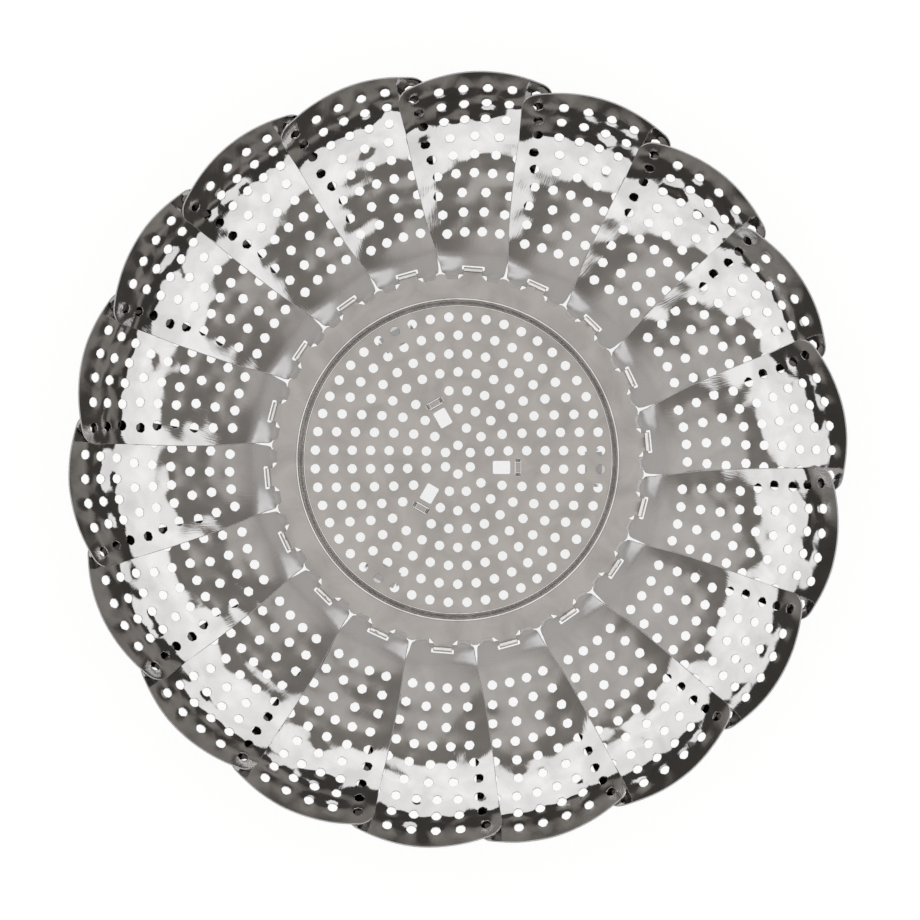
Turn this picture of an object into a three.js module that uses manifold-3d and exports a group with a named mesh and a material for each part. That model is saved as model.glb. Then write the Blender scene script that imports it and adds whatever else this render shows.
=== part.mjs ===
// Folding steamer basket, open: a round perforated base plate on three folding legs, with a ring of
// eighteen perforated petals hooked to its flange. Each petal lies on the one before it, going clockwise,
// and all of them swing up and in together about their own hinge bars.
//
// Millimetres, +Z up. The origin is on the ground under the middle of the plate. The first petal points
// along +Y and the others follow clockwise, as seen from above.

import * as THREE from "three";
import { mergeVertices } from "three/addons/utils/BufferGeometryUtils.js";
import Module from "manifold-3d";

const wasm = await Module();
wasm.setup();

// Sizes that several pieces share
const gap = 0.3; // clearance between pieces that would touch
const overrun = 2; // how far a cutting tool runs past the metal
const holeDiameter = 4.4; // wider and fewer than in the real punching, with about the same open area
const holeSides = 6;

// Base plate
const plateSheet = 0.6; // metal thickness
const floorRadius = 49.4; // flat floor, up to the foot of the wall
const wallRise = 2.4; // height of the flange over the floor
const wallRun = 2.4; // width of the sloping wall, seen from above
const standHeight = 33.5; // ground to the underside of the floor
const plateHolePitch = 9.2; // distance between the perforations
const plateHoleFirstRing = 7.8;
const plateSegments = 36;

// Petals
const petalCount = 18;
const petalSheet = 0.5;
const hingeRadius = 60.2; // basket axis to the petal hinges
const footSlope = 12.5; // degrees above level, at the hinge
const waistSlope = 15; // where the gentle inner part turns into the steep outer part
const rimSlope = 50;
const innerLength = 31; // hinge to waist, along the metal
const outerLength = 38; // waist to rim, along the metal
const footHalfWidth = 10;
const waistHalfWidth = 18.2;
const shoulderHalfWidth = 24.6; // at the start of the rounded corners
const shoulderLength = 62; // hinge to shoulder, along the metal
const rimRadius = 56; // bulge of the rim in the flat pattern
const cornerRadius = 6;
const cornerShares = [0.15, 0.5, 0.85]; // how far round its corner each point lies
const petalLean = 1.2; // degrees that the petal is turned anticlockwise past its foot
const petalTilt = 5.2; // degrees that the covering side is raised, at the foot
const rimTilt = 4.6; // and at the rim
const dishRadius = 83; // crosswise curve of the petal near its foot
const rimDishRadius = 71;
const twistStart = 0.9; // where the flat foot starts to turn into the tilted dish
const twistEnd = 5.8;
const petalHolePitch = 10;
const lineBulge = 0.5; // of the lines between the rows of holes
const petalHoleMargin = 4.3; // side edge to the centre of the nearest hole
const firstRowLength = 9; // hinge to the first row of holes, along the metal
const rimMargin = 8.5; // rim to the last row of holes, along the metal

// Petal foot: hinge bar, window for the hook tab, and two stop tongues
const barWidth = 1.6;
const windowHalfWidth = 3.7;
const windowEnd = 2.7; // hinge to the far edge of the window
const tongueOffset = 6.7; // petal centre line to the middle of a tongue
const tongueWidth = 4.2;
const tongueLength = 2.7;
const tongueRootStep = 0.2; // bar's inner edge to the bend of a tongue
const footCorner = 0.9;

// Hook tabs of the base plate, one for each petal
const hookHalfWidth = 3;
const hookRootHalfWidth = 4.3;
const hookTurn = 235; // degrees that the tab is rolled round the bar
const hookSteps = 5;
const flangeSetback = 2.3; // hinge to the edge of the flange between the tabs

// Windows and pressed-up loops near the middle of the plate, one of each for each leg
const legCount = 3;
const legTurn = 4.5; // degrees from +X to the first leg's line, anticlockwise
const legLineOffset = 2.47; // how far each leg's line passes from the basket's axis
const plateWindowCentre = 14;
const plateWindowLength = 5.6;
const plateWindowWidth = 4.2;
const loopCentre = 19.3;
const loopSpan = 6.2;
const loopWidth = 1.7;
const loopRise = 1.5;
const loopSheet = 0.6;

// Legs, drawn in a side view with the leg hinge at the origin
const legSheet = 0.8;
const legWidth = 8;
const footWidth = 3.4;
const footLength = 6;
const footBend = 1.8; // outside of the bend into the foot
const bendSteps = 3;
const legSplay = 12; // degrees that a standing leg leans out
const taperStart = 7; // hinge to the start of the taper
const taperEnd = 22;
const pinRadius = 1;
const pinHeadRadius = 1.7;
const pinHeadLength = 0.8;
const pinSides = 9;

// Leg brackets
const bracketSheet = 0.8;
const earHalfLength = 2.7;
const earDrop = 2.8; // pin to the bottom of the ear
const stopLength = 7; // length of the flange that the standing leg leans on

// Worked out from the sizes above
const petalPitch = (2 * Math.PI) / petalCount;
const patternLength = innerLength + outerLength;
const tongueRoot = -barWidth / 2 - tongueRootStep;
const hookInnerRadius = Math.hypot(barWidth / 2, petalSheet / 2) + gap;
const hookOuterRadius = hookInnerRadius + plateSheet;
const floorUnder = standHeight;
const floorTop = floorUnder + plateSheet;
const flangeUnder = floorUnder + wallRise;
const hingeHeight = flangeUnder - hookInnerRadius;
const flangeRadius = hingeRadius - flangeSetback;
const knuckleInner = pinRadius + gap;
const knuckleOuter = knuckleInner + legSheet;
const webUnder = knuckleOuter + gap;
const webTop = webUnder + bracketSheet;
const pinHeight = floorUnder - gap - webTop;
const legHingeLine = plateWindowCentre + pinHeight - legSheet / 2;

const upward = new THREE.Vector3(0, 0, 1);

const steel = { color: 0xb9babb, roughness: 0.22, metalness: 1 };
const legSteel = { color: 0xaeb0b2, roughness: 0.3, metalness: 1 };

function material(look) {
  return new THREE.MeshStandardMaterial(look);
}

function radians(degrees) {
  return (degrees * Math.PI) / 180;
}

// Solids from geometries and back
function solidOf(geometry) {
  const plain = geometry.index ? geometry.toNonIndexed() : geometry.clone();
  plain.deleteAttribute("normal");
  plain.deleteAttribute("uv");
  const merged = mergeVertices(plain);
  return new wasm.Manifold(
    new wasm.Mesh({
      numProp: 3,
      vertProperties: new Float32Array(merged.attributes.position.array),
      triVerts: new Uint32Array(merged.index.array),
    }),
  );
}

function geometryOf(solid) {
  const mesh = solid.getMesh();
  const geometry = new THREE.BufferGeometry();
  geometry.setAttribute("position", new THREE.BufferAttribute(new Float32Array(mesh.vertProperties), 3));
  geometry.setIndex(new THREE.BufferAttribute(new Uint32Array(mesh.triVerts), 1));
  return geometry;
}

function prism(points, low, high) {
  const shape = new THREE.Shape(points);
  const geometry = new THREE.ExtrudeGeometry(shape, { depth: high - low, bevelEnabled: false, steps: 1 });
  return geometry.translate(0, 0, low);
}

function regularPoints(x, y, radius, sides) {
  return Array.from({ length: sides }, (_, i) => {
    const angle = (2 * Math.PI * i) / sides;
    return new THREE.Vector2(x + radius * Math.cos(angle), y + radius * Math.sin(angle));
  });
}

// The bore of a knuckle or an ear: its flats touch the clearance circle round the pin from outside
function borePoints() {
  return regularPoints(0, 0, knuckleInner / Math.cos(Math.PI / pinSides), pinSides);
}

function block(x0, x1, y0, y1, z0, z1) {
  const geometry = new THREE.BoxGeometry(x1 - x0, y1 - y0, z1 - z0);
  return geometry.translate((x0 + x1) / 2, (y0 + y1) / 2, (z0 + z1) / 2);
}

// A side view, x outward and y up, swept sideways from -halfWidth to halfWidth
function sideSweep(points, halfWidth) {
  return prism(points, -halfWidth, halfWidth).rotateX(Math.PI / 2);
}

// The petal's surface: its radial section, and the tilt and dish across it
function bowArc(length, fromSlope, toSlope, distance) {
  const from = radians(fromSlope);
  const bend = (radians(toSlope) - from) / length;
  const to = from + bend * distance;
  return {
    run: (Math.sin(to) - Math.sin(from)) / bend,
    rise: (Math.cos(from) - Math.cos(to)) / bend,
    slope: to,
  };
}

function section(distance) {
  const inner = bowArc(innerLength, footSlope, waistSlope, Math.min(distance, innerLength));
  if (distance <= innerLength) return inner;
  const outer = bowArc(outerLength, waistSlope, rimSlope, distance - innerLength);
  return { run: inner.run + outer.run, rise: inner.rise + outer.rise, slope: outer.slope };
}

// How much of the lean, tilt and dish the foot has reached at this distance
function footTurn(distance) {
  return THREE.MathUtils.smoothstep(distance, twistStart, twistEnd);
}

function dishHeight(distance, across) {
  const outward = THREE.MathUtils.clamp((distance - twistEnd) / (patternLength - twistEnd), 0, 1);
  const tilt = radians(THREE.MathUtils.lerp(petalTilt, rimTilt, outward));
  const bend = THREE.MathUtils.lerp(1 / dishRadius, 1 / rimDishRadius, outward);
  return footTurn(distance) * (Math.tan(tilt) * across + (bend * across * across) / 2);
}

// Where a point of the flat pattern lies: along the petal, across it, and off its middle plane. The petal
// points along +X here with its hinge axis through the origin.
function onPetal(distance, across, offset) {
  const { run, rise, slope } = section(distance);
  const height = dishHeight(distance, across) + offset;
  const place = new THREE.Vector3(run - height * Math.sin(slope), across, rise + height * Math.cos(slope));
  return place.applyAxisAngle(upward, radians(petalLean) * footTurn(distance));
}

// The tongues turn up from the foot, so that their tips lie just under the flange
function onTongue(distance, across, offset) {
  const start = onPetal(tongueRoot, across, 0);
  const tipHeight = hookInnerRadius - gap - petalSheet / 2;
  const rise = Math.asin((tipHeight - start.z) / tongueLength);
  const reach = tongueRoot - distance;
  return new THREE.Vector3(
    start.x - reach * Math.cos(rise) + offset * Math.sin(rise),
    across,
    start.z + reach * Math.sin(rise) + offset * Math.cos(rise),
  );
}

// A petal's half width grows smoothly from foot to shoulder, and its sides run straight past that
function halfWidth(distance) {
  const share = Math.min(distance / shoulderLength, 1);
  const middle = innerLength / shoulderLength;
  const chord = footHalfWidth + (shoulderHalfWidth - footHalfWidth) * middle;
  const bow = (waistHalfWidth - chord) / (middle * (1 - middle));
  return footHalfWidth + (shoulderHalfWidth - footHalfWidth) * share + bow * share * (1 - share);
}

function rimDistance(across) {
  return patternLength - rimRadius + Math.sqrt(rimRadius * rimRadius - across * across);
}

// The rows of holes, and the lines between them. Each row is cut along seams between its holes, so that
// the faces stay small and follow the curve.
const rowsLength = patternLength - rimMargin - firstRowLength;
const rowCount = Math.round(rowsLength / (petalHolePitch * Math.sin(Math.PI / 3))) + 1;
const rowRise = rowsLength / (rowCount - 1);

function rowDistance(row) {
  return firstRowLength + row * rowRise;
}

function holeCount(row) {
  const reach = halfWidth(rowDistance(row)) - petalHoleMargin;
  return Math.floor((2 * reach) / petalHolePitch) + 1;
}

function seamPlaces(row) {
  const count = holeCount(row);
  return Array.from({ length: count - 1 }, (_, i) => (i + 1 - count / 2) * petalHolePitch);
}

// The points of the line before a row, from one side edge to the other. The line bulges a little, so that
// no three of its points are in line.
function linePoints(row) {
  const distance = row === 0 ? twistEnd : rowDistance(row) - rowRise / 2;
  const width = halfWidth(distance);
  const before = row === 0 ? [-windowHalfWidth, windowHalfWidth] : seamPlaces(row - 1);
  const places = [-width, ...before, ...seamPlaces(row), width].sort((a, b) => a - b);
  const apart = places.filter((place, i) => i === 0 || place - places[i - 1] > gap);
  return apart.map((place) => {
    return new THREE.Vector2(distance + lineBulge * (1 - (place / width) ** 2), place);
  });
}

// The rim from one side to the other: a rounded corner, a bulging arc and the other corner
function rimPoints() {
  const width = shoulderHalfWidth;
  const cornerCentre = rimDistance(width - cornerRadius / 2) - cornerRadius;
  const corner = cornerShares.map((share) => {
    const angle = (share * Math.PI) / 2;
    const across = width - cornerRadius + cornerRadius * Math.cos(angle);
    return new THREE.Vector2(cornerCentre + cornerRadius * Math.sin(angle), across);
  });
  const seams = seamPlaces(rowCount - 1);
  const middles = [...seams.map((seam) => seam + petalHolePitch / 2), seams[0] - petalHolePitch / 2];
  const inside = [...seams, ...middles].filter((place) => Math.abs(place) < width - cornerRadius);
  const bulge = inside.map((place) => new THREE.Vector2(rimDistance(place), place));
  const mirrored = corner.map((point) => new THREE.Vector2(point.x, -point.y));
  return [...corner, ...bulge, ...mirrored].sort((a, b) => a.y - b.y);
}

// A row's patches, one for each hole
function rowPatches(row) {
  const near = linePoints(row);
  const far = row === rowCount - 1 ? rimPoints() : linePoints(row + 1);
  const seams = [-Infinity, ...seamPlaces(row), Infinity];
  return seams.slice(1).map((to, i) => {
    const from = seams[i];
    const inCell = (point) => point.y > from - gap && point.y < to + gap;
    const outline = [...near.filter(inCell), ...far.filter(inCell).reverse()];
    const across = (i + 1 - seams.length / 2) * petalHolePitch;
    const hole = regularPoints(rowDistance(row), across, holeDiameter / 2, holeSides);
    return { outline, holes: [hole], place: onPetal };
  });
}

// One tongue's outline, from its inner root corner round the chamfered tip to its outer root corner
function tonguePoints(side) {
  const tip = tongueRoot - tongueLength;
  const half = tongueWidth / 2;
  const chamfer = half / 2;
  const corners = [
    [tongueRoot, -half],
    [tip + chamfer, -half],
    [tip, chamfer - half],
    [tip, half - chamfer],
    [tip + chamfer, half],
    [tongueRoot, half],
  ];
  return corners.map(([along, across]) => new THREE.Vector2(along, side * (tongueOffset + across)));
}

function footPoints() {
  const edge = -barWidth / 2;
  const width = footHalfWidth;
  const half = tongueWidth / 2;
  const side = [
    [edge, windowHalfWidth],
    [tongueRoot, tongueOffset - half],
    [tongueRoot, tongueOffset + half],
    [edge, width - footCorner],
    [edge + footCorner, width],
  ];
  const left = side.map(([along, across]) => new THREE.Vector2(along, across));
  const right = side.map(([along, across]) => new THREE.Vector2(along, -across)).reverse();
  return [...right, ...left];
}

function windowPoints() {
  const near = barWidth / 2;
  return [
    new THREE.Vector2(near, -windowHalfWidth),
    new THREE.Vector2(windowEnd, -windowHalfWidth),
    new THREE.Vector2(windowEnd, windowHalfWidth),
    new THREE.Vector2(near, windowHalfWidth),
  ];
}

// Each patch is an outline with its holes, and the surface that it is laid on
function petalPatches() {
  const foot = [...footPoints(), ...linePoints(0).reverse()];
  const patches = [
    { outline: tonguePoints(1), holes: [], place: onTongue },
    { outline: tonguePoints(-1), holes: [], place: onTongue },
    { outline: foot, holes: [windowPoints()], place: onPetal },
  ];
  for (let row = 0; row < rowCount; row += 1) patches.push(...rowPatches(row));
  return patches;
}

// A sheet of even thickness on a set of patches that share the points along their common lines
function sheetGeometry(patches, thickness) {
  const numbers = new Map();
  const upper = [];
  const lower = [];
  const faces = [];
  function number(point, place) {
    const key = `${point.x.toFixed(5)} ${point.y.toFixed(5)}`;
    if (!numbers.has(key)) {
      numbers.set(key, upper.length);
      upper.push(place(point.x, point.y, thickness / 2));
      lower.push(place(point.x, point.y, -thickness / 2));
    }
    return numbers.get(key);
  }
  for (const { outline, holes, place } of patches) {
    const rim = THREE.ShapeUtils.isClockWise(outline) ? outline.slice().reverse() : outline;
    const cuts = holes.map((hole) => (THREE.ShapeUtils.isClockWise(hole) ? hole : hole.slice().reverse()));
    const points = [rim, ...cuts].flat().map((point) => number(point, place));
    for (const face of THREE.ShapeUtils.triangulateShape(rim, cuts)) {
      faces.push(face.map((corner) => points[corner]));
    }
  }
  const edges = new Map();
  for (const face of faces) {
    face.forEach((from, i) => edges.set(`${from} ${face[(i + 1) % 3]}`, [from, face[(i + 1) % 3]]));
  }
  const count = upper.length;
  const index = [];
  for (const [a, b, c] of faces) index.push(a, b, c, count + c, count + b, count + a);
  for (const [from, to] of edges.values()) {
    if (edges.has(`${to} ${from}`)) continue;
    index.push(from, count + from, count + to, from, count + to, to);
  }
  const geometry = new THREE.BufferGeometry();
  geometry.setFromPoints([...upper, ...lower]);
  geometry.setIndex(index);
  return geometry;
}

// Base plate: a turned sheet, with its holes and windows cut and its hook tabs and loops added
function plateBody() {
  const wallFoot = floorRadius;
  const wallHead = floorRadius + wallRun;
  const lean = plateSheet * Math.tan(Math.atan2(wallRise, wallRun) / 2);
  const points = [
    [0, floorUnder],
    [wallFoot + lean, floorUnder],
    [wallHead + lean, flangeUnder],
    [flangeRadius, flangeUnder],
    [flangeRadius, flangeUnder + plateSheet],
    [wallHead, flangeUnder + plateSheet],
    [wallFoot, floorTop],
    [0, floorTop],
  ];
  const profile = points.map(([radius, height]) => new THREE.Vector2(radius, height));
  return solidOf(new THREE.LatheGeometry(profile, plateSegments).rotateX(Math.PI / 2));
}

// A rolled curve from straight above the hinge, made of flats that touch the circle from outside
function rolledPoints(radius) {
  const step = radians(hookTurn) / hookSteps;
  const corners = Array.from({ length: hookSteps }, (_, i) => {
    return { angle: Math.PI / 2 - (i + 0.5) * step, reach: radius / Math.cos(step / 2) };
  });
  const end = { angle: Math.PI / 2 - radians(hookTurn), reach: radius };
  const turns = [{ angle: Math.PI / 2, reach: radius }, ...corners, end];
  return turns.map(({ angle, reach }) => {
    return new THREE.Vector2(reach * Math.cos(angle), reach * Math.sin(angle));
  });
}

function hookTab() {
  const outer = rolledPoints(hookOuterRadius);
  const inner = rolledPoints(hookInnerRadius);
  const back = -flangeSetback - plateSheet;
  const front = hookRootHalfWidth - hookHalfWidth - flangeSetback;
  const root = [new THREE.Vector2(back, hookInnerRadius), new THREE.Vector2(back, hookOuterRadius)];
  const roll = solidOf(sideSweep([...root, ...outer, ...inner.reverse()], hookHalfWidth));
  const rootPlan = [
    [back, -hookRootHalfWidth],
    [-flangeSetback, -hookRootHalfWidth],
    [front, -hookHalfWidth],
    [front, hookHalfWidth],
    [-flangeSetback, hookRootHalfWidth],
    [back, hookRootHalfWidth],
  ].map(([along, across]) => new THREE.Vector2(along, across));
  const rootPlate = solidOf(prism(rootPlan, hookInnerRadius, hookOuterRadius));
  return roll.add(rootPlate);
}

// The windows and loops lie in a strip along each leg's line, and no hole is cut there
function inLegStrip(x, y) {
  const margin = holeDiameter / 2 + gap;
  const near = plateWindowCentre - plateWindowLength / 2 - margin;
  const far = loopCentre + loopWidth / 2 + margin;
  return Array.from({ length: legCount }, (_, leg) => {
    const angle = radians(legTurn - (leg * 360) / legCount);
    const along = x * Math.cos(angle) + y * Math.sin(angle);
    const across = y * Math.cos(angle) - x * Math.sin(angle) + legLineOffset;
    return along > near && along < far && Math.abs(across) < loopSpan / 2 + margin;
  }).includes(true);
}

function plateHoles() {
  const cutters = [];
  const reach = floorRadius - holeDiameter;
  for (let radius = plateHoleFirstRing; radius <= reach; radius += plateHolePitch) {
    const count = Math.round((2 * Math.PI * radius) / plateHolePitch / legCount) * legCount;
    for (let i = 0; i < count; i += 1) {
      const angle = radians(legTurn) + ((i + 0.5) * 2 * Math.PI) / count;
      const centre = [radius * Math.cos(angle), radius * Math.sin(angle)];
      if (inLegStrip(...centre)) continue;
      const points = regularPoints(centre[0], centre[1], holeDiameter / 2, holeSides);
      cutters.push(prism(points, floorUnder - overrun, floorTop + overrun));
    }
  }
  return cutters;
}

function inLegFrame(solid, leg) {
  const angle = legTurn - (leg * 360) / legCount;
  return solid.rotate([0, 0, angle]);
}

function plateWindow() {
  const near = plateWindowCentre - plateWindowLength / 2;
  const low = -legLineOffset - plateWindowWidth / 2;
  const cutter = block(
    near,
    near + plateWindowLength,
    low,
    low + plateWindowWidth,
    floorUnder - overrun,
    floorTop + overrun,
  );
  return solidOf(cutter);
}

// A strap pressed up out of the floor, open underneath from side to side
function plateLoop() {
  const half = loopSpan / 2;
  const shoulder = half / 2;
  const sunk = floorTop - plateSheet / 2;
  const top = floorTop + loopRise;
  const inside = top - loopSheet;
  const points = [
    [-half, sunk],
    [-half, floorTop],
    [-shoulder, top],
    [shoulder, top],
    [half, floorTop],
    [half, sunk],
    [half - loopSheet, sunk],
    [half - loopSheet, floorTop],
    [shoulder - loopSheet / 2, inside],
    [-shoulder + loopSheet / 2, inside],
    [-half + loopSheet, floorTop],
    [-half + loopSheet, sunk],
  ].map(([across, height]) => new THREE.Vector2(across, height));
  const strap = prism(points, loopCentre - loopWidth / 2, loopCentre + loopWidth / 2);
  const turned = strap.rotateX(Math.PI / 2).rotateZ(Math.PI / 2);
  return solidOf(turned.translate(0, -legLineOffset, 0));
}

function buildBasePlate() {
  let plate = plateBody();
  for (const cutter of plateHoles()) plate = plate.subtract(solidOf(cutter));
  for (let leg = 0; leg < legCount; leg += 1) {
    plate = plate.subtract(inLegFrame(plateWindow(), leg));
    plate = plate.add(inLegFrame(plateLoop(), leg));
  }
  const tab = hookTab().translate([hingeRadius, 0, hingeHeight]);
  for (let petal = 0; petal < petalCount; petal += 1) {
    plate = plate.add(tab.rotate([0, 0, 90 - (petal * 360) / petalCount]));
  }
  return geometryOf(plate);
}

// A point of the splayed leg's side view: so far out from the leg's line, and at this height
function splayed(offset, height) {
  const splay = radians(legSplay);
  const reach = (offset * Math.sin(splay) - height) / Math.cos(splay);
  return new THREE.Vector2(
    offset * Math.cos(splay) + reach * Math.sin(splay),
    offset * Math.sin(splay) - reach * Math.cos(splay),
  );
}

// Leg: a strip that hangs from a rolled knuckle and bends into a flat foot
function legOutline() {
  const ground = -pinHeight;
  const top = knuckleInner * Math.sin(radians(legSplay));
  const corner = splayed(knuckleOuter, ground);
  const heel = splayed(knuckleInner, ground + legSheet);
  const tip = corner.x - footLength;
  const innerBend = footBend - legSheet;
  const outside = new THREE.QuadraticBezierCurve(
    splayed(knuckleOuter, ground + footBend),
    corner,
    new THREE.Vector2(corner.x - footBend, ground),
  );
  return [
    splayed(knuckleOuter, top),
    ...outside.getPoints(bendSteps),
    new THREE.Vector2(tip, ground),
    new THREE.Vector2(tip, ground + legSheet),
    new THREE.Vector2(heel.x - innerBend, heel.y),
    splayed(knuckleInner, heel.y + innerBend),
    splayed(knuckleInner, top),
  ];
}

function buildLeg() {
  const strip = solidOf(sideSweep(legOutline(), legWidth / 2));
  const barrel = solidOf(sideSweep(regularPoints(0, 0, knuckleOuter, pinSides), legWidth / 2));
  const bore = solidOf(sideSweep(borePoints(), legWidth / 2 + overrun));
  const taper = [
    [knuckleOuter + overrun, legWidth / 2],
    [-taperStart, legWidth / 2],
    [-taperEnd, footWidth / 2],
    [-pinHeight - overrun, footWidth / 2],
  ];
  const left = taper.map(([height, across]) => new THREE.Vector2(across, height));
  const right = taper.map(([height, across]) => new THREE.Vector2(-across, height)).reverse();
  const reach = pinHeight;
  const front = prism([...left, ...right], -reach, reach).rotateX(Math.PI / 2).rotateZ(Math.PI / 2);
  return geometryOf(strip.add(barrel).subtract(bore).intersect(solidOf(front)));
}

// Bracket: a web under the floor, an ear on each side of the knuckle and a stop flange
function buildBracket() {
  const inside = legWidth / 2 + gap;
  const outside = inside + bracketSheet;
  const ear = [
    [-earHalfLength, webUnder],
    [-earHalfLength, -earDrop / 2],
    [-earHalfLength / 2, -earDrop],
    [earHalfLength / 2, -earDrop],
    [earHalfLength, -earDrop / 2],
    [earHalfLength, webUnder],
    [earHalfLength, webTop],
    [-earHalfLength, webTop],
  ].map(([along, height]) => new THREE.Vector2(along, height));
  const ears = solidOf(sideSweep(ear, outside));
  const room = block(
    -earHalfLength - overrun,
    earHalfLength + overrun,
    -inside,
    inside,
    -earDrop - overrun,
    webUnder,
  );
  const bore = solidOf(sideSweep(borePoints(), outside + overrun));
  const near = knuckleOuter + gap;
  const far = near + bracketSheet;
  const flange = [
    splayed(near, webUnder),
    splayed(near, webUnder - stopLength),
    splayed(far, webUnder - stopLength),
    splayed(far, webTop),
    new THREE.Vector2(0, webTop),
    new THREE.Vector2(0, webUnder),
  ];
  const stop = solidOf(sideSweep(flange, inside));
  return geometryOf(ears.subtract(solidOf(room)).subtract(bore).add(stop));
}

function buildPin() {
  const shaftEnd = legWidth / 2 + gap + bracketSheet + gap;
  const headEnd = shaftEnd + pinHeadLength;
  const profile = [
    [0, -headEnd],
    [pinHeadRadius, -headEnd],
    [pinHeadRadius, -shaftEnd],
    [pinRadius, -shaftEnd],
    [pinRadius, shaftEnd],
    [pinHeadRadius, shaftEnd],
    [pinHeadRadius, headEnd],
    [0, headEnd],
  ].map(([radius, along]) => new THREE.Vector2(radius, along));
  return new THREE.LatheGeometry(profile, pinSides);
}

// Put the basket together
const basket = new THREE.Group();

function addMesh(parent, name, geometry, look) {
  const mesh = new THREE.Mesh(geometry, material(look));
  mesh.name = name;
  parent.add(mesh);
  return mesh;
}

addMesh(basket, "base_plate", buildBasePlate(), steel);

const petalGeometry = sheetGeometry(petalPatches(), petalSheet);
for (let petal = 0; petal < petalCount; petal += 1) {
  const seat = new THREE.Group();
  seat.rotation.z = Math.PI / 2 - petal * petalPitch;
  const mesh = addMesh(seat, `petal_${String(petal + 1).padStart(2, "0")}`, petalGeometry, steel);
  mesh.position.set(hingeRadius, 0, hingeHeight);
  basket.add(seat);
}

const legGeometry = buildLeg();
const bracketGeometry = buildBracket();
const pinGeometry = buildPin();
for (let leg = 0; leg < legCount; leg += 1) {
  const seat = new THREE.Group();
  seat.rotation.z = radians(legTurn) - (leg * 2 * Math.PI) / legCount;
  const corner = new THREE.Group();
  corner.position.set(legHingeLine, -legLineOffset, pinHeight);
  addMesh(corner, `leg_${leg + 1}`, legGeometry, legSteel);
  addMesh(corner, `leg_bracket_${leg + 1}`, bracketGeometry, legSteel);
  addMesh(corner, `leg_pin_${leg + 1}`, pinGeometry, legSteel);
  seat.add(corner);
  basket.add(seat);
}

export default basket;
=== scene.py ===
# %% [markdown]
# # A folding steamer basket, dressed in Blender
#
# The basket is a round perforated plate with a ring of eighteen perforated petals hooked to it, on three
# folding legs. All of it is thin polished sheet steel, so two things make it look real: the exact curve of
# each sheet, and what the sheet mirrors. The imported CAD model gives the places, the joints and the sizes.
# It is loaded first, and never moved.

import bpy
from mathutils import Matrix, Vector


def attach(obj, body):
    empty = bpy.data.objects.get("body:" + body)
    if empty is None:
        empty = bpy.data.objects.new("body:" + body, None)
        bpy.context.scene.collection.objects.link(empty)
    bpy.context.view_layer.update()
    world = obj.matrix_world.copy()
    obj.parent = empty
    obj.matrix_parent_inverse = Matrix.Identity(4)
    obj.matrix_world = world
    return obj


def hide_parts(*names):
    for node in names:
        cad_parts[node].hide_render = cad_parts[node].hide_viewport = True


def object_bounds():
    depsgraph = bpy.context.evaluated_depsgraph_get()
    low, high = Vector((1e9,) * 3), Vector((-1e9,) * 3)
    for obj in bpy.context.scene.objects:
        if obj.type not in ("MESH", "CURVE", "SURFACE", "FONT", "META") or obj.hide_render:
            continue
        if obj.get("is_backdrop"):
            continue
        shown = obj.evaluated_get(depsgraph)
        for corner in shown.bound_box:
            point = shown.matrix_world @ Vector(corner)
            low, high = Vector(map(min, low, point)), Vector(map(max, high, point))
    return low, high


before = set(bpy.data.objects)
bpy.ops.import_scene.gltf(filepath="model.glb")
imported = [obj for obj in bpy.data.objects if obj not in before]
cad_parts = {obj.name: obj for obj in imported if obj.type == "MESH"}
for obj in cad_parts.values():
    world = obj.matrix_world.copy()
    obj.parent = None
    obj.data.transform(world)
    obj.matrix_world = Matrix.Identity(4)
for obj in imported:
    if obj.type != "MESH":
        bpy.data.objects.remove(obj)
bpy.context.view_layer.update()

# %% Modules
import math
from functools import partial

import bpy
import numpy as np
from mathutils import Vector
from mathutils.geometry import delaunay_2d_cdt

MM = 0.001  # sizes below are in millimetres, and a mesh is in metres

# %% [markdown]
# ## How to build punched sheet metal
#
# A boolean could cut nine hundred holes, but it leaves long thin faces, and a polished face shows every one
# of them in its reflections. A real maker starts from a flat blank, punches it, and only then presses it
# into shape. The same order works here. A pattern is cut flat: outlines, holes, rings of points round each
# hole, and a few points to fill the rest. It is triangulated once. A function then presses every point into
# place, above and below the sheet's middle, and gives its exact normal, so that the reflections run
# smoothly over the small flat faces.

# %% Loops of the flat pattern
def unit_rows(rows):
    """Each row as a vector of length one."""
    return rows / np.linalg.norm(rows, axis=1)[:, None]


def circle_loop(x, y, radius, count, start=0.0):
    """A hole, clockwise, so that the metal lies to the left of its edge."""
    angles = start - 2 * np.pi * np.arange(count) / count
    return np.column_stack([x + radius * np.cos(angles), y + radius * np.sin(angles)])


def turned(points, angle):
    """Flat points turned about the origin, anticlockwise."""
    x, y = np.asarray(points, float).T
    c, s = math.cos(angle), math.sin(angle)
    return np.column_stack([x * c - y * s, x * s + y * c])


def outward_normals(loop):
    """For each point of a loop, the flat direction out of the metal."""
    before = loop - np.roll(loop, 1, axis=0)
    after = np.roll(loop, -1, axis=0) - loop
    total = unit_rows(before) + unit_rows(after)
    total /= np.linalg.norm(total, axis=1)[:, None]
    return np.column_stack([total[:, 1], -total[:, 0]])


def round_corners(points, radius, steps=4):
    """A polygon with its corners cut back and rounded, by one radius or by one for each corner."""
    rounded = []
    for i, (corner, cut) in enumerate(zip(points, np.broadcast_to(radius, len(points)))):
        corner = np.array(corner, float)
        reach = []
        for other in (points[i - 1], points[(i + 1) % len(points)]):
            side = np.array(other, float) - corner
            length = np.linalg.norm(side)
            reach.append(corner + side / length * min(cut, 0.45 * length))
        for share in np.linspace(0, 1, steps + 1):
            pull = 2 * share * (1 - share) * corner
            rounded.append((1 - share) ** 2 * reach[0] + pull + share**2 * reach[1])
    return np.array(rounded)


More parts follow.
